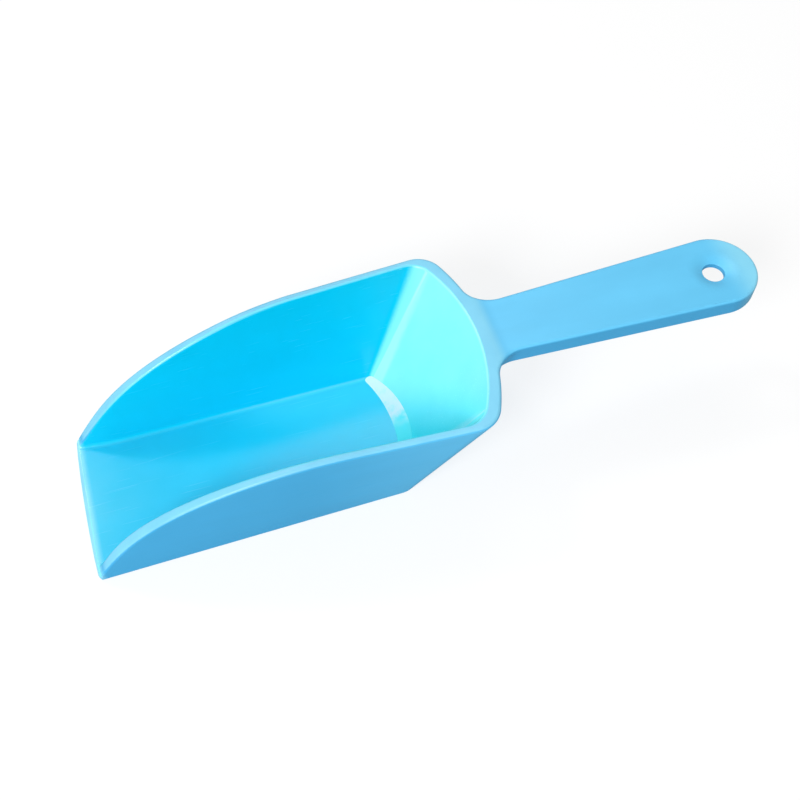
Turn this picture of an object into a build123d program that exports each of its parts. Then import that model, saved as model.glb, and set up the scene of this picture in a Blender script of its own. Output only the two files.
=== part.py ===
from build123d import *
import math
import os

# Hand feed scoop, one injection moulding in polypropylene, written as named
# sections that meet face to face. Millimetres. X runs from the pouring lip to
# the tip of the handle, Y across the scoop, Z up. The scoop stands on Z = 0.

# Overall
OVERALL_LENGTH = 210.0
HEIGHT = 41.0

# Shell: the walls thicken towards the floor, as a moulding's draft makes them
WALL_FLOOR = 4.2
WALL_RIM = 2.7
BACK_WALL_FLOOR = 3.5
BACK_WALL_RIM = 4.1
FLOOR = 2.5

# Outer outline of the bowl, at the floor and at the rim
FLOOR_HALF_LIP = 24.0
FLOOR_HALF_BACK = 22.9
FLOOR_BACK_SIDE = 96.5
FLOOR_BACK_MIDDLE = 102.5
RIM_HALF_LIP = 25.2
RIM_HALF_BACK = 32.0
RIM_BACK_SIDE = 117.4
RIM_BACK_MIDDLE = 125.7
CORNER_FLOOR = 7.0
CORNER_RIM = 8.5
EDGE_UNDER = 0.8

# Inside of the bowl: corners, blend at the floor, and the ramp at the foot of the back wall
CORNER_INSIDE_FLOOR = 2.5
CORNER_INSIDE_RIM = 7.0
FLOOR_BLEND = 1.6
RAMP_START = 92.6
RAMP_HALF = 18.7
RAMP_BULGE = 4.0
RAMP_RUN = 9.0
RAMP_ANGLE = 20.0

# Near the lip the inside curves outwards, so that the walls end thin
FLARE_START = 15.0
FLARE_FLOOR = 5.0
FLARE_RIM = 0.5

# Pouring lip
LIP_BULGE = 0.9
LIP_HALF = 24.4
LIP_CORNER = 2.5
LIP_ROUND = 1.2

# Height of the rim along the bowl: it climbs from the lip, then runs level
RIM_START = (-2.0, -2.2)
RIM_LOW = (14.0, 18.4)
RIM_MIDDLE = (30.0, 29.8)
RIM_HIGH = (52.0, 38.0)
RIM_LEVEL = (78.0, 41.2)
RIM_START_SLOPE = 1.45
RIM_END_SLOPE = 0.03
RIM_ROUND = 0.9

# Handle: a shallow channel, open underneath
NECK_X = 131.0
NECK_HALF = 9.6
TIP_HALF = 12.6
SKIRT_HEIGHT = 5.2
SKIRT_WALL = 2.4
PLATE = 2.8
NECK_BLEND = 8.0
BLANK_DEPTH = 16.0
CHANNEL_START = 129.0
CHANNEL_CORNER = 2.5

# Hanging hole and the dished collar round it
HOLE_X = 197.0
HOLE_RADIUS = 3.3
HOLE_ROUND = 0.25
COLLAR_RADIUS = 7.8
DISH_DEPTH = 1.2
DISH_SLOPE = 0.5

# Where one named section ends and the next begins
SECTION_X_FLOOR = 85.0
SECTION_X_RIM = 105.0
SECTION_Z = 7.5

# Construction overshoot in length and as a share, and the least distance that counts
PAST = 6.0
PAST_SHARE = 1.2
TINY = 0.01


def between(low, high, share):
    return low + (high - low) * share


def bowl_outline(height, front, corner, wall=0, back_wall=0, flare=0):
    """Plan of the bowl at one height, moved in from its outer face by the walls."""
    share = height / HEIGHT
    side = between(FLOOR_BACK_SIDE, RIM_BACK_SIDE, share)
    middle = between(FLOOR_BACK_MIDDLE, RIM_BACK_MIDDLE, share)
    half_lip = between(FLOOR_HALF_LIP, RIM_HALF_LIP, share) - wall
    half_back = between(FLOOR_HALF_BACK, RIM_HALF_BACK, share) - wall
    taper = (half_back - half_lip) / side
    turn = FLARE_START if flare else front
    half_turn = half_lip + taper * turn
    half_front = half_lip + taper * front + flare
    # The flare grows with the square of its length, so it is a quarter of its size halfway
    halfway = (front + turn) / 2
    half_halfway = half_lip + taper * halfway + flare / 4
    with BuildSketch(Plane.XY.offset(height)) as outline:
        with BuildLine():
            Line((front, half_front), (front, -half_front))
            if flare:
                for sign in (-1, 1):
                    ThreePointArc(
                        (front, sign * half_front),
                        (halfway, sign * half_halfway),
                        (turn, sign * half_turn),
                    )
            Line((turn, -half_turn), (side - back_wall, -half_back))
            ThreePointArc(
                (side - back_wall, -half_back),
                (middle - back_wall, 0),
                (side - back_wall, half_back),
            )
            Line((side - back_wall, half_back), (turn, half_turn))
        make_face()
        fillet(outline.vertices().group_by(Axis.X)[-1], radius=corner)
    return outline.sketch.face()


def slab(low_x, high_x, low_z, high_z):
    """A block across the whole scoop, for cutting it into sections."""
    centre = ((low_x + high_x) / 2, 0, (low_z + high_z) / 2)
    return Pos(*centre) * Box(high_x - low_x, 4 * RIM_HALF_BACK, high_z - low_z)


def bowed(profile, front, radius, half):
    """A profile in X and Z, swept across the scoop on an arc whose centre is radius in front."""
    axis = Axis((front - radius, 0, 0), (0, 0, 1))
    angle = 2 * math.degrees(math.asin(PAST_SHARE * half / abs(radius)))
    return revolve(Plane.XZ * profile, axis, angle).rotate(axis, -angle / 2)


# Outer body of the bowl, filled
outer = Solid.make_loft(
    [
        bowl_outline(0, -PAST, CORNER_FLOOR).outer_wire(),
        bowl_outline(HEIGHT, -PAST, CORNER_RIM).outer_wire(),
    ],
    ruled=True,
)

# The space inside the bowl, with a soft blend where the walls meet the floor
inside_floor = bowl_outline(
    FLOOR, -2 * PAST, CORNER_INSIDE_FLOOR, WALL_FLOOR, BACK_WALL_FLOOR, FLARE_FLOOR
)
inside_rim = bowl_outline(
    HEIGHT, -2 * PAST, CORNER_INSIDE_RIM, WALL_RIM, BACK_WALL_RIM, FLARE_RIM
)
cavity = Solid.make_loft([inside_floor.outer_wire(), inside_rim.outer_wire()], ruled=True)
cavity_floor = cavity.faces().sort_by(Axis.Z)[0]
blend_edges = cavity_floor.edges().sort_by(Axis.X)[1:]
cavity = cavity.fillet(FLOOR_BLEND, blend_edges)

# The floor ends in a shallow arc. From there a low ramp fills the curve of the back wall.
ramp_foot = RAMP_START + RAMP_BULGE
ramp_radius = (RAMP_HALF**2 + RAMP_BULGE**2) / (2 * RAMP_BULGE)
ramp_rise = RAMP_RUN * math.tan(math.radians(RAMP_ANGLE))
ramp = make_face(
    Polyline(
        (ramp_foot, FLOOR),
        (ramp_foot + RAMP_RUN, FLOOR + ramp_rise),
        (ramp_foot + RAMP_RUN, 0),
        (ramp_foot, 0),
        close=True,
    )
)
cavity = cavity - bowed(ramp, ramp_foot, ramp_radius, RAMP_HALF)

# The handle in plan, with the neck blended into the back of the rim
tip_centre_x = OVERALL_LENGTH - TIP_HALF
half_taper = (TIP_HALF - NECK_HALF) / (tip_centre_x - NECK_X)
root_x = RIM_BACK_SIDE - PAST
root_half = NECK_HALF - half_taper * (NECK_X - root_x)
grip = make_face(
    Polyline(
        (root_x, -root_half),
        (tip_centre_x, -TIP_HALF),
        (tip_centre_x, TIP_HALF),
        (root_x, root_half),
        close=True,
    )
)
grip = grip + Pos(tip_centre_x, 0) * Circle(TIP_HALF)

# The neck blends into the back of the bowl. The blend is made on a deeper
# blank, and only the depth of the handle is kept.
deep_blank = extrude(Pos(0, 0, HEIGHT - BLANK_DEPTH) * grip, BLANK_DEPTH)
blended = Part() + [outer, deep_blank]


def is_neck_edge(edge):
    """A long edge down the back of the bowl, at one side of the handle."""
    middle = edge.bounding_box().center()
    beside = root_half / 2 < abs(middle.Y) < NECK_HALF
    return edge.length > BLANK_DEPTH and root_x < middle.X < NECK_X and beside


neck_edges = [edge for edge in blended.edges() if is_neck_edge(edge)]
blended = blended.fillet(NECK_BLEND, neck_edges)
handle_depth = slab(root_x, OVERALL_LENGTH + PAST, HEIGHT - SKIRT_HEIGHT, HEIGHT)
handle_blank = (blended - outer) & handle_depth
moulding = Part() + [outer, handle_blank]

# Everything above the rim line comes off
above_rim = make_face(
    [
        Spline(
            RIM_START,
            RIM_LOW,
            RIM_MIDDLE,
            RIM_HIGH,
            RIM_LEVEL,
            tangents=[(1, RIM_START_SLOPE), (1, RIM_END_SLOPE)],
        ),
        Line(RIM_LEVEL, (RIM_LEVEL[0], HEIGHT + PAST)),
        Line((RIM_LEVEL[0], HEIGHT + PAST), (-3 * PAST, HEIGHT + PAST)),
        Line((-3 * PAST, HEIGHT + PAST), (-3 * PAST, RIM_START[1])),
        Line((-3 * PAST, RIM_START[1]), RIM_START),
    ]
)
above_rim = Plane.XZ * above_rim
above_rim = extrude(above_rim, 3 * RIM_HALF_BACK, both=True)

# Plan of the pouring lip, bowed forward and rounded at its two corners
with BuildSketch() as lip_plan:
    with BuildLine():
        ThreePointArc((LIP_BULGE, -LIP_HALF), (0, 0), (LIP_BULGE, LIP_HALF))
        Polyline(
            (LIP_BULGE, LIP_HALF),
            (OVERALL_LENGTH + PAST, 2 * LIP_HALF),
            (OVERALL_LENGTH + PAST, -2 * LIP_HALF),
            (LIP_BULGE, -LIP_HALF),
        )
    make_face()
    fillet(lip_plan.vertices().group_by(Axis.X)[0], radius=LIP_CORNER)
lip_trim = extrude(lip_plan.sketch, 2 * HEIGHT, both=True)

# The lip's upper edge is rounded along its bow
bow_radius = (LIP_HALF**2 + LIP_BULGE**2) / (2 * LIP_BULGE)
nose = make_face(
    [
        Line((-PAST, FLOOR - LIP_ROUND), (0, FLOOR - LIP_ROUND)),
        RadiusArc((0, FLOOR - LIP_ROUND), (LIP_ROUND, FLOOR), LIP_ROUND),
        Line((LIP_ROUND, FLOOR), (LIP_ROUND, 2 * PAST)),
        Line((LIP_ROUND, 2 * PAST), (-PAST, 2 * PAST)),
        Line((-PAST, 2 * PAST), (-PAST, FLOOR - LIP_ROUND)),
    ]
)
lip_nose = bowed(nose, 0, -bow_radius, LIP_HALF)

moulding = moulding - cavity
moulding = moulding - above_rim

# Underside channel of the handle
channel_half = NECK_HALF - SKIRT_WALL - half_taper * (NECK_X - CHANNEL_START)
tip_inside = TIP_HALF - SKIRT_WALL
channel = make_face(
    Polyline(
        (CHANNEL_START, -channel_half),
        (tip_centre_x, -tip_inside),
        (tip_centre_x, tip_inside),
        (CHANNEL_START, channel_half),
        close=True,
    )
)
channel = fillet(channel.vertices().group_by(Axis.X)[0], CHANNEL_CORNER)
channel = channel + Pos(tip_centre_x, 0) * Circle(tip_inside)
channel = extrude(Pos(0, 0, HEIGHT - SKIRT_HEIGHT) * channel, SKIRT_HEIGHT - PLATE)
moulding = moulding - channel


def is_rim_edge(edge):
    """An edge that runs along the rim, level or climbing from the lip."""
    box = edge.bounding_box()
    level = box.min.Z > HEIGHT - TINY and box.size.X > RIM_ROUND
    climbing = box.size.Z > HEIGHT / 2 and box.size.X > HEIGHT
    return level or climbing


rim_edges = [edge for edge in moulding.edges() if is_rim_edge(edge)]
moulding = moulding.fillet(RIM_ROUND, rim_edges)
moulding = moulding & lip_trim
moulding = moulding - lip_nose
under_edges = [edge for edge in moulding.edges() if edge.bounding_box().max.Z < TINY]
moulding = moulding.fillet(EDGE_UNDER, under_edges)

# Collar round the hanging hole: its top dips smoothly from the handle to the hole
collar_under = HEIGHT - PLATE
collar_seat = Pos(HOLE_X, 0, HEIGHT - PLATE / 2) * Cylinder(COLLAR_RADIUS, PLATE)
collar_section = make_face(
    [
        Line((COLLAR_RADIUS, collar_under), (COLLAR_RADIUS, HEIGHT)),
        Spline(
            (COLLAR_RADIUS, HEIGHT),
            (HOLE_RADIUS, HEIGHT - DISH_DEPTH),
            tangents=[(-1, 0), (-1, -DISH_SLOPE)],
        ),
        Line((HOLE_RADIUS, HEIGHT - DISH_DEPTH), (HOLE_RADIUS, collar_under)),
        Line((HOLE_RADIUS, collar_under), (COLLAR_RADIUS, collar_under)),
    ]
)
hang_hole_collar = Pos(HOLE_X, 0, 0) * revolve(Plane.XZ * collar_section, Axis.Z)
mouth_edges = hang_hole_collar.edges().filter_by(GeomType.CIRCLE)
mouth_edges = [e for e in mouth_edges if abs(e.radius - HOLE_RADIUS) < TINY]
hang_hole_collar = hang_hole_collar.fillet(HOLE_ROUND, mouth_edges)

# The moulding divides along the back of the bowl and across its flat walls
handle = moulding - outer - collar_seat
bowl = moulding & outer
slope = (SECTION_X_RIM - SECTION_X_FLOOR) / HEIGHT
behind = make_face(
    Polyline(
        (SECTION_X_FLOOR - slope * PAST, -PAST),
        (SECTION_X_RIM + slope * PAST, HEIGHT + PAST),
        (OVERALL_LENGTH, HEIGHT + PAST),
        (OVERALL_LENGTH, -PAST),
        close=True,
    )
)
behind = extrude(Plane.XZ * behind, 3 * RIM_HALF_BACK, both=True)
back_wall = bowl & behind
front = bowl - behind
floor_pan = front & slab(-PAST, OVERALL_LENGTH, -PAST, SECTION_Z)
side_walls = front & slab(-PAST, OVERALL_LENGTH, SECTION_Z, HEIGHT + PAST)
left_wall, right_wall = side_walls.solids().sort_by(Axis.Y)

sections = {
    "floor_pan": floor_pan,
    "left_wall": left_wall,
    "right_wall": right_wall,
    "back_wall": back_wall,
    "handle": handle,
    "hang_hole_collar": hang_hole_collar,
}

# The origin sits under the middle of the scoop's length
os.makedirs("parts", exist_ok=True)
to_origin = Pos(-OVERALL_LENGTH / 2, 0, 0)
for name, section in sections.items():
    print(name, "solids", len(section.solids()), "volume", round(section.volume))
    export_step(to_origin * section, f"parts/{name}.step")
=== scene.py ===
import math

import bpy
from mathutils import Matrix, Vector


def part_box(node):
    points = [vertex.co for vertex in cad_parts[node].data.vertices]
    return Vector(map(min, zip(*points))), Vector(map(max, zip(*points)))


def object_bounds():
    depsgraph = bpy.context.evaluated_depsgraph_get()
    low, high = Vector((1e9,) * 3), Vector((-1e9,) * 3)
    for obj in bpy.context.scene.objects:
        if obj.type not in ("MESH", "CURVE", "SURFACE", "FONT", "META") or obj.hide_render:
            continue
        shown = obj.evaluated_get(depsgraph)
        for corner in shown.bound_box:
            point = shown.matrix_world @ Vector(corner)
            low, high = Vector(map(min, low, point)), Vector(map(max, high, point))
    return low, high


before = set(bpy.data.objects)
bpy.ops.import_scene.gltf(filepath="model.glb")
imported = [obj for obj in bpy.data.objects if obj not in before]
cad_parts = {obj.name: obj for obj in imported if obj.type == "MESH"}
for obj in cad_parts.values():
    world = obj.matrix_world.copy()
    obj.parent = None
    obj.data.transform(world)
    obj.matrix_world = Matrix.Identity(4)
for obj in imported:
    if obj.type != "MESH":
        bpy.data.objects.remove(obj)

# A moulded plastic feed scoop on a pale floor. Metres, in the CAD part's own
# frame: X from the pouring lip to the tip of the handle, Z up.

cad_low, cad_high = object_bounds()
back_low, back_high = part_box("back_wall")
lip_x = cad_low.x
tip_x = cad_high.x


def span(start, first, second):
    """Two places along X, each a distance from start."""
    return start + first, start + second


# A point in the middle of the bowl's open mouth
BOWL_MOUTH = (lip_x + 0.060, 0.0, cad_high.z - 0.005)

# Plastic colours, linear. The polished inside and the satin outside are one plastic: the outside's
# darker colour is painted shade and the inside's brighter one painted light. After them come painted
# light, shade and highlights, and what rubbing does
INSIDE_WALL = (0.002, 0.590, 0.860, 1)
# Painted shade on the floor near the lip
INSIDE_FLOOR = (0.016, 0.525, 0.780, 1)
# Painted reflection of the pale back wall in the rear of the floor
INSIDE_REAR = (0.010, 0.690, 0.940, 1)
# Painted sheen on the floor's +Y side
FLOOR_PAINTED_SHEEN = (0.046, 0.690, 0.930, 1)
# Painted light on the back wall low down and on -Y, where the near wall shades it
BACK_FOOT = (0.004, 0.930, 0.990, 1)
# Painted light and highlight on the back wall high up and on +Y
BACK_PAINTED_LIGHT = (0.265, 0.860, 0.880, 1)
OUTSIDE = (0.044, 0.388, 0.708, 1)
# Painted shade on the outside of the handle
SKIRT = (0.045, 0.340, 0.620, 1)
# Painted light on the top of the grip and the outside of the bowl's rear
GRIP_LIT = (0.140, 0.615, 0.950, 1)
# Rub wear on the rim, lip and tip with a painted highlight on rim and lip, and a painted highlight
# along the foot of the walls
SCUFF_AND_HIGHLIGHT = (0.350, 0.800, 0.930, 1)
# Painted glint on the ramp and painted highlights up the back corners
PAINTED_GLINT = (0.800, 0.930, 0.950, 1)

# How pale the lip (rub wear and painted highlight) and the tip (rub wear) are, with the rim as 1, and
# how much painted light the bowl's outside rear gets, with the grip as 1
LIP_WEAR_AND_HIGHLIGHT = 1.4
TIP_WEAR = 1.2
REAR_PAINTED_LIGHT = 0.6

# The share of a tint that shows where its mask is full
SCUFF_HIGHLIGHT_SHARE = 0.55
GLINT_SHARE = 0.9

# How full a mask is at most: the painted highlight along the foot of the walls, the painted
# highlights up the corners, and the painted light of the ramp beside that of the back wall
FOOT_HIGHLIGHT_MOST = 0.35
CORNER_HIGHLIGHT_MOST = 0.3
RAMP_LIGHT_MOST = 0.6

# Where a mask fades along X, from and to
LIP_EDGE = span(lip_x, 0.0036, 0.0010)
RIM_FRONT = span(lip_x, 0.075, 0.045)
BOWL_REAR = span(lip_x, 0.055, 0.115)
LINE_START = span(lip_x, 0.030, 0.065)
SHEEN_START = span(lip_x, 0.035, 0.065)
FLOOR_FRONT = span(lip_x, 0.065, 0.015)
FLOOR_REAR = span(lip_x, 0.050, 0.090)
BACK_START = span(back_low.x, 0, 0.012)
BOWL_END = span(back_high.x, 0.002, -0.001)
HANDLE_START = span(back_high.x, -0.004, 0.004)
TIP_EDGE = span(tip_x, -0.012, -0.002)

# Where a mask fades across the scoop, and how far its border moves for each metre up or along
# The first two place the painted light on the back wall, the next two the painted sheen on the floor,
# and the last the painted glint on the ramp
BACK_LIGHT_ACROSS = (-0.016, 0.018)
BACK_LIGHT_PER_HEIGHT = 0.8
SHEEN_ACROSS = (-0.016, 0.004)
SHEEN_PER_LENGTH = 0.4
GLINT_ACROSS = (-0.003, 0.004)

# Where a mask fades with height
ABOVE_FLOOR = (0.004, 0.007)
LINE_TOP = (0.0065, 0.0050)
RAMP_TOP = (0.008, 0.007)

# Where a mask fades by the X, Y or Z of the way a surface faces, and for the back wall how
# far that moves for each metre up
BACK_TURN_X = (-0.30, -0.66)
BACK_TURN_PER_HEIGHT = 4.5
RAMP_FROM_X = (-0.27, -0.32)
RAMP_TO_X = (-0.42, -0.36)
RAMP_Z = (0.88, 0.93)
CORNER_X = (-0.55, -0.70)
CORNER_FROM_Y = (0.37, 0.41)
CORNER_TO_Y = (0.52, 0.45)
FOOT_FROM_Z = (0.58, 0.68)
FOOT_TO_Z = (0.93, 0.84)
RIM_TOP_Z = (0.53, 0.80)
RIM_STEEP_Z = (0.35, 0.55)
LIP_NOSE_Z = (-0.8, -0.2)
GRIP_TOP_Z = (0.30, 0.90)
LEVEL_Z = (0.70, 0.97)
TOWARDS_MOUTH = (-0.05, 0.15)

# Noises in the plastic: scale, detail, and how dense the pattern is along X, Y and Z
FLOW = (55, 3.0, (0.35, 1.6, 1.6))
MOTTLE = (130, 4.0)
STREAKS = (420, 2.0, (0.06, 1, 1))
PEEL = (900, 2.0)
SCRATCHES = (2600, 1.0, (0.02, 1, 1))

# Values of a noise between which its scratches or patches fade in
SCRATCH_FADE = (0.66, 0.74)
PATCH_FADE = (0.30, 0.50)

# What is left of a mask where the noise over it is 0, and where it is 1: for the edges' wear and
# painted highlight, the grip's painted light and the back wall's painted light
EDGE_MOTTLE = (0.65, 1.0)
GRIP_FLOW = (0.75, 1.0)
BACK_LIGHT_FLOW = (0.85, 1.0)

# Drift of the lightness with the flow and with the mottle, and the scale of their sum
FLOW_DRIFT = (-0.5, 0.5)
MOTTLE_DRIFT = (-0.25, 0.25)
DRIFT_SCALE = 0.10

# Roughness, and what polish takes from it and scratches and wear add to it
ROUGHNESS = (0.28, 0.38)
INSIDE_POLISH = 0.15
SCRATCH_ROUGHNESS = 0.12
EDGE_ROUGHNESS = 0.06
RAMP_ROUGHNESS = 0.25

# The finest relief: how much streaks and scratches count in it, its strength and its depth
STREAK_HEIGHT = 0.6
SCRATCH_DEPTH = 0.5
RELIEF_STRENGTH = 0.25
RELIEF_DEPTH = 0.00002

# Polypropylene's gloss
PLASTIC_IOR = 1.45
PLASTIC_SPECULAR = 0.5

# Floor, just clear of the scoop, and the grain and glow of its surface
FLOOR_SIZE = 8.0
FLOOR_GAP = 0.0001
FLOOR_GRAIN = (900, 2.0)
FLOOR_GRAIN_SHARE = (0, 0.3)
FLOOR_GREY = 0.26
FLOOR_GRAIN_GREY = 0.23
FLOOR_ROUGHNESS = 0.9
FLOOR_GLOW = 0.74

# Z of a direction, over which the air changes from its lower grey to its upper
HORIZON = (-0.05, 0.05)

# Camera, at the viewing angle of the reference view, and the point that it looks at
CAMERA_AZIMUTH = -17.459
CAMERA_ELEVATION = 57.262
CAMERA_DISTANCE = 0.30823
CAMERA_TARGET = (lip_x + 0.09877, -0.00024, 0.01575)
CAMERA_LENS = 45.81
SENSOR_WIDTH = 36.0
NEAREST_SEEN = 0.01


# ---- Node helpers ----

class Nodes:
    """A material's node tree, with short calls for the nodes used here."""

    def __init__(self, material):
        material.use_nodes = True
        self.tree = material.node_tree
        self.tree.nodes.clear()

    def add(self, kind, settings=None, **inputs):
        node = self.tree.nodes.new("ShaderNode" + kind)
        for name, value in (settings or {}).items():
            setattr(node, name, value)
        for name, value in inputs.items():
            self.feed(node.inputs[name.replace("_", " ")], value)
        return node

    def feed(self, socket, value):
        if isinstance(value, bpy.types.NodeSocket):
            self.tree.links.new(value, socket)
        else:
            socket.default_value = value

    def maths(self, operation, *values):
        node = self.tree.nodes.new("ShaderNodeMath")
        node.operation = operation
        for socket, value in zip(node.inputs, values):
            self.feed(socket, value)
        return node.outputs[0]

    def plus(self, first, second):
        return self.maths("ADD", first, second)

    def minus(self, first, second):
        return self.maths("SUBTRACT", first, second)

    def product(self, first, *others):
        for other in others:
            first = self.maths("MULTIPLY", first, other)
        return first

    def most(self, first, *others):
        for other in others:
            first = self.maths("MAXIMUM", first, other)
        return first

    def step(self, value, low, high):
        """0 at low and 1 at high, smooth between and level beyond. Low may be the larger."""
        node = self.tree.nodes.new("ShaderNodeMapRange")
        node.interpolation_type = "SMOOTHSTEP"
        self.feed(node.inputs["Value"], value)
        node.inputs["From Min"].default_value = low
        node.inputs["From Max"].default_value = high
        return node.outputs[0]

    def spread(self, value, low, high):
        """Maps 0 to 1 onto low to high."""
        node = self.tree.nodes.new("ShaderNodeMapRange")
        self.feed(node.inputs["Value"], value)
        node.inputs["To Min"].default_value = low
        node.inputs["To Max"].default_value = high
        return node.outputs[0]

    def noise(self, place, scale, detail, density=(1, 1, 1)):
        mapping = self.add("Mapping", Vector=place, Scale=density)
        node = self.add("TexNoise", Vector=mapping.outputs[0], Scale=scale, Detail=detail)
        return node.outputs["Fac"]

    def blend(self, share, first, second):
        """Mixes two colours, which the Mix node takes at inputs 6 and 7 and gives at output 2."""
        node = self.add("Mix", {"data_type": "RGBA"})
        self.feed(node.inputs["Factor"], share)
        self.feed(node.inputs[6], first)
        self.feed(node.inputs[7], second)
        return node.outputs[2]

    def show(self, shader, kind="OutputMaterial"):
        out = self.add(kind)
        self.feed(out.inputs["Surface"], shader.outputs[0])


def grey(value):
    return (value, value, value, 1)


# ---- The scoop's plastic ----

class ScoopNodes(Nodes):
    """Masks for where on the scoop a point lies and which way it faces, and the looks from them."""

    def __init__(self, material):
        super().__init__(material)
        self.place = self.add("TexCoord").outputs["Object"]
        self.x, self.y, self.z = self.add("SeparateXYZ", Vector=self.place).outputs
        self.normal = self.add("NewGeometry").outputs["Normal"]
        self.face_x, self.face_y, self.face_z = self.add("SeparateXYZ", Vector=self.normal).outputs

        # Flow of the plastic along the mould, and a cloudier mottle over it
        self.flow = self.noise(self.place, *FLOW)
        self.mottle = self.noise(self.place, *MOTTLE)

        # Scratches run along the bowl, the way the scoop is pushed into feed
        self.scratches = self.step(self.noise(self.place, *SCRATCHES), *SCRATCH_FADE)

        self.on_bowl = self.step(self.x, *BOWL_END)
        self.on_handle = self.step(self.x, *HANDLE_START)
        self.inside = self.product(self.faces_mouth(), self.on_bowl)
        self.edge = self.edge_wear_and_highlight()
        self.ramp = self.on_ramp()

    def faces_mouth(self):
        """Inside the bowl, a surface faces the middle of the bowl's mouth."""
        to_mouth = self.add("VectorMath", {"operation": "SUBTRACT"})
        self.feed(to_mouth.inputs[0], BOWL_MOUTH)
        self.feed(to_mouth.inputs[1], self.place)
        way = self.add("VectorMath", {"operation": "NORMALIZE"}, Vector=to_mouth.outputs[0])
        towards = self.add("VectorMath", {"operation": "DOT_PRODUCT"})
        self.feed(towards.inputs[0], self.normal)
        self.feed(towards.inputs[1], way.outputs[0])
        return self.step(towards.outputs["Value"], *TOWARDS_MOUTH)

    def edge_wear_and_highlight(self):
        """The rim's top, the lip and the end of the handle are rubbed most; the pale tint on the rim
        and lip is partly that wear and partly a painted highlight.
        """
        climbing = self.product(self.step(self.face_z, *RIM_STEEP_Z), self.step(self.x, *RIM_FRONT))
        rim = self.most(self.step(self.face_z, *RIM_TOP_Z), climbing)
        rim = self.product(rim, self.step(self.z, *ABOVE_FLOOR), self.on_bowl)
        lip = self.product(self.step(self.x, *LIP_EDGE), self.step(self.face_z, *LIP_NOSE_Z))
        lip = self.product(lip, LIP_WEAR_AND_HIGHLIGHT)
        tip = self.product(self.step(self.x, *TIP_EDGE), TIP_WEAR)
        return self.product(self.most(rim, lip, tip), self.spread(self.mottle, *EDGE_MOTTLE))

    def grip_painted_light(self):
        """Painted light: the top of the grip is painted a shade paler, and so is the outside of the
        bowl's rear.
        """
        grip = self.product(self.on_handle, self.step(self.face_z, *GRIP_TOP_Z))
        off_handle = self.minus(1.0, self.on_handle)
        rear = self.product(self.step(self.x, *BOWL_REAR), off_handle, REAR_PAINTED_LIGHT)
        return self.product(self.most(grip, rear), self.spread(self.flow, *GRIP_FLOW))

    def on_back(self):
        """The inside of the back wall, and more of its rounded corners the higher they are."""
        turned = self.minus(self.face_x, self.product(self.z, BACK_TURN_PER_HEIGHT))
        return self.product(self.step(turned, *BACK_TURN_X), self.step(self.x, *BACK_START))

    def back_wall_painted_light(self):
        """How far the back wall's painted light goes toward its paler colour: most of all high up and
        on +Y.
        """
        across = self.plus(self.y, self.product(self.z, BACK_LIGHT_PER_HEIGHT))
        return self.product(self.step(across, *BACK_LIGHT_ACROSS), self.spread(self.flow, *BACK_LIGHT_FLOW))

    def on_ramp(self):
        """The low ramp at the foot of the back wall."""
        slope = self.product(self.step(self.face_x, *RAMP_FROM_X), self.step(self.face_x, *RAMP_TO_X))
        slope = self.product(slope, self.step(self.face_z, *RAMP_Z))
        return self.product(slope, self.inside, self.step(self.z, *RAMP_TOP))

    def ramp_painted_glint(self):
        """A painted glint, nearly white, on the ramp's +Y side, in patches."""
        patches = self.step(self.mottle, *PATCH_FADE)
        return self.product(self.ramp, self.step(self.y, *GLINT_ACROSS), patches)

    def foot_highlight(self):
        """A painted highlight: a pale line along the foot of the walls."""
        bend = self.product(self.step(self.face_z, *FOOT_FROM_Z), self.step(self.face_z, *FOOT_TO_Z))
        low = self.product(self.step(self.z, *LINE_TOP), self.step(self.x, *LINE_START))
        return self.product(bend, low, self.inside, FOOT_HIGHLIGHT_MOST)

    def corner_highlight(self):
        """A painted highlight: a pale line up each rounded corner between the back wall and a side
        wall.
        """
        turn = self.maths("ABSOLUTE", self.face_y)
        bend = self.product(self.step(turn, *CORNER_FROM_Y), self.step(turn, *CORNER_TO_Y))
        return self.product(bend, self.step(self.face_x, *CORNER_X), CORNER_HIGHLIGHT_MOST)

    def floor_and_walls(self):
        """Painted light on the floor: painted shade near the lip, a painted reflection of the back
        wall at the rear, and a painted sheen on its +Y side.
        """
        level = self.step(self.face_z, *LEVEL_Z)
        front = self.product(level, self.step(self.x, *FLOOR_FRONT))
        rear = self.product(level, self.step(self.x, *FLOOR_REAR))
        across = self.plus(self.y, self.product(self.x, SHEEN_PER_LENGTH))
        painted_sheen = self.product(self.step(self.x, *SHEEN_START), self.step(across, *SHEEN_ACROSS))
        tint = self.blend(front, INSIDE_WALL, INSIDE_FLOOR)
        tint = self.blend(rear, tint, INSIDE_REAR)
        return self.blend(self.product(level, painted_sheen), tint, FLOOR_PAINTED_SHEEN)

    def inside_colour(self):
        back_light = self.back_wall_painted_light()
        ramp_light = self.product(back_light, RAMP_LIGHT_MOST)
        tint = self.floor_and_walls()
        # Painted light on the back wall and on the ramp at its foot
        tint = self.blend(self.on_back(), tint, self.blend(back_light, BACK_FOOT, BACK_PAINTED_LIGHT))
        tint = self.blend(self.ramp, tint, self.blend(ramp_light, BACK_FOOT, BACK_PAINTED_LIGHT))
        # Painted glint on the ramp and painted highlights up the corners
        pale = self.most(self.ramp_painted_glint(), self.corner_highlight())
        return self.blend(self.product(pale, GLINT_SHARE), tint, PAINTED_GLINT)

    def outside_colour(self):
        # Painted shade on the handle's outside, and painted light on the grip's top and the bowl's
        # outside rear
        tint = self.blend(self.on_handle, OUTSIDE, SKIRT)
        return self.blend(self.grip_painted_light(), tint, GRIP_LIT)

    def colour(self):
        tint = self.blend(self.inside, self.outside_colour(), self.inside_colour())
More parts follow.
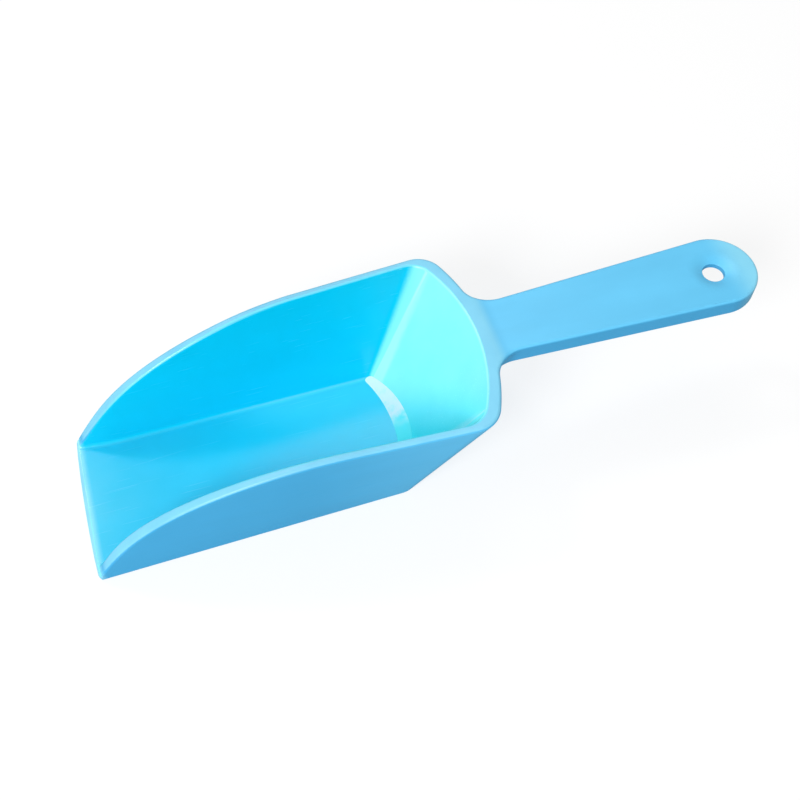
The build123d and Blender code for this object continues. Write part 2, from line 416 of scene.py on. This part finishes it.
        # Rub wear and painted highlights on the edges, and a painted highlight along the foot of the
        # walls
        scuff_and_highlight = self.product(self.most(self.edge, self.foot_highlight()), SCUFF_HIGHLIGHT_SHARE)
        tint = self.blend(scuff_and_highlight, tint, SCUFF_AND_HIGHLIGHT)
        cloudy = self.spread(self.mottle, *MOTTLE_DRIFT)
        drift = self.product(self.plus(self.spread(self.flow, *FLOW_DRIFT), cloudy), DRIFT_SCALE)
        shade = self.add("HueSaturation", Color=tint)
        self.feed(shade.inputs["Value"], self.plus(1.0, drift))
        return shade.outputs[0]

    def roughness(self):
        rough = self.spread(self.mottle, *ROUGHNESS)
        rough = self.minus(rough, self.product(self.inside, INSIDE_POLISH))
        rough = self.plus(rough, self.product(self.scratches, SCRATCH_ROUGHNESS))
        rough = self.plus(rough, self.product(self.edge, EDGE_ROUGHNESS))
        return self.plus(rough, self.product(self.ramp, RAMP_ROUGHNESS))

    def relief(self):
        """Orange peel and the mould's streaks, cut by the scratches."""
        streaks = self.noise(self.place, *STREAKS)
        height = self.plus(self.noise(self.place, *PEEL), self.product(streaks, STREAK_HEIGHT))
        height = self.minus(height, self.product(self.scratches, SCRATCH_DEPTH))
        bump = self.add("Bump", Height=height, Strength=RELIEF_STRENGTH, Distance=RELIEF_DEPTH)
        return bump.outputs[0]


def scoop_plastic():
    """Blue polypropylene, polished inside the bowl and satin outside, paler where it rubs, with
    painted light, shade, highlights and sheen in its colour.
    """
    material = bpy.data.materials.new("scoop_plastic")
    n = ScoopNodes(material)
    shader = n.add(
        "BsdfPrincipled",
        Base_Color=n.colour(),
        Roughness=n.roughness(),
        Normal=n.relief(),
    )
    shader.inputs["IOR"].default_value = PLASTIC_IOR
    shader.inputs["Specular IOR Level"].default_value = PLASTIC_SPECULAR
    n.show(shader)
    return material


plastic = scoop_plastic()
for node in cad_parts.values():
    node.data.materials.clear()
    node.data.materials.append(plastic)


# ---- Floor, light and camera ----

def light_table():
    """Pale matt surface, lit from underneath as a light table is."""
    material = bpy.data.materials.new("light_table")
    n = Nodes(material)
    grain = n.noise(n.add("TexCoord").outputs["Object"], *FLOOR_GRAIN)
    tint = n.blend(n.spread(grain, *FLOOR_GRAIN_SHARE), grey(FLOOR_GREY), grey(FLOOR_GRAIN_GREY))
    shader = n.add("BsdfPrincipled", Base_Color=tint, Roughness=FLOOR_ROUGHNESS)
    shader.inputs["Emission Color"].default_value = grey(1)
    shader.inputs["Emission Strength"].default_value = FLOOR_GLOW
    n.show(shader)
    return material


def pale_floor():
    """A square floor, which the plastic doesn't mirror."""
    mesh = bpy.data.meshes.new("floor")
    half = FLOOR_SIZE / 2
    corners = [(-half, -half, 0), (half, -half, 0), (half, half, 0), (-half, half, 0)]
    mesh.from_pydata(corners, [], [(0, 1, 2, 3)])
    floor = bpy.data.objects.new("floor", mesh)
    floor.location.z = -FLOOR_GAP
    floor.visible_glossy = False
    mesh.materials.append(light_table())
    bpy.context.scene.collection.objects.link(floor)


def softbox(name, direction, distance, size, radiance):
    """A square light that faces the scoop, as bright as radiance."""
    light = bpy.data.lights.new(name, "AREA")
    light.shape = "SQUARE"
    light.size = size
    light.energy = radiance * math.pi * size**2
    lamp = bpy.data.objects.new(name, light)
    away = Vector(direction).normalized()
    lamp.location = away * distance
    lamp.rotation_euler = away.to_track_quat("Z", "Y").to_euler()
    bpy.context.scene.collection.objects.link(lamp)


def studio_air(above, below):
    """Even light from all round, dimmer from under the horizon."""
    world = bpy.data.worlds.new("studio")
    bpy.context.scene.world = world
    n = Nodes(world)
    way = n.add("TexCoord").outputs["Generated"]
    up = n.add("SeparateXYZ", Vector=way).outputs[2]
    tint = n.blend(n.step(up, *HORIZON), grey(below), grey(above))
    n.show(n.add("Background", Color=tint), "OutputWorld")


def place_camera():
    camera = bpy.data.cameras.new("camera")
    camera.sensor_width = SENSOR_WIDTH
    camera.lens = CAMERA_LENS
    camera.clip_start = NEAREST_SEEN
    viewer = bpy.data.objects.new("camera", camera)
    azimuth = math.radians(CAMERA_AZIMUTH)
    elevation = math.radians(CAMERA_ELEVATION)
    back = Vector((
        math.sin(azimuth) * math.cos(elevation),
        -math.cos(azimuth) * math.cos(elevation),
        math.sin(elevation),
    ))
    viewer.location = Vector(CAMERA_TARGET) + back * CAMERA_DISTANCE
    viewer.rotation_euler = back.to_track_quat("Z", "Y").to_euler()
    bpy.context.scene.collection.objects.link(viewer)
    bpy.context.scene.camera = viewer


pale_floor()
studio_air(above=0.47, below=0.15)
softbox("key", (-0.60, -0.50, 0.62), distance=1.2, size=0.40, radiance=20.5)
softbox("overhead", (0.157, 0.498, 0.853), distance=1.4, size=0.50, radiance=2.0)
softbox("kicker", (-0.35, 0.50, 0.79), distance=1.2, size=0.20, radiance=16.0)
place_camera()
bpy.context.scene.view_settings.view_transform = "Standard"
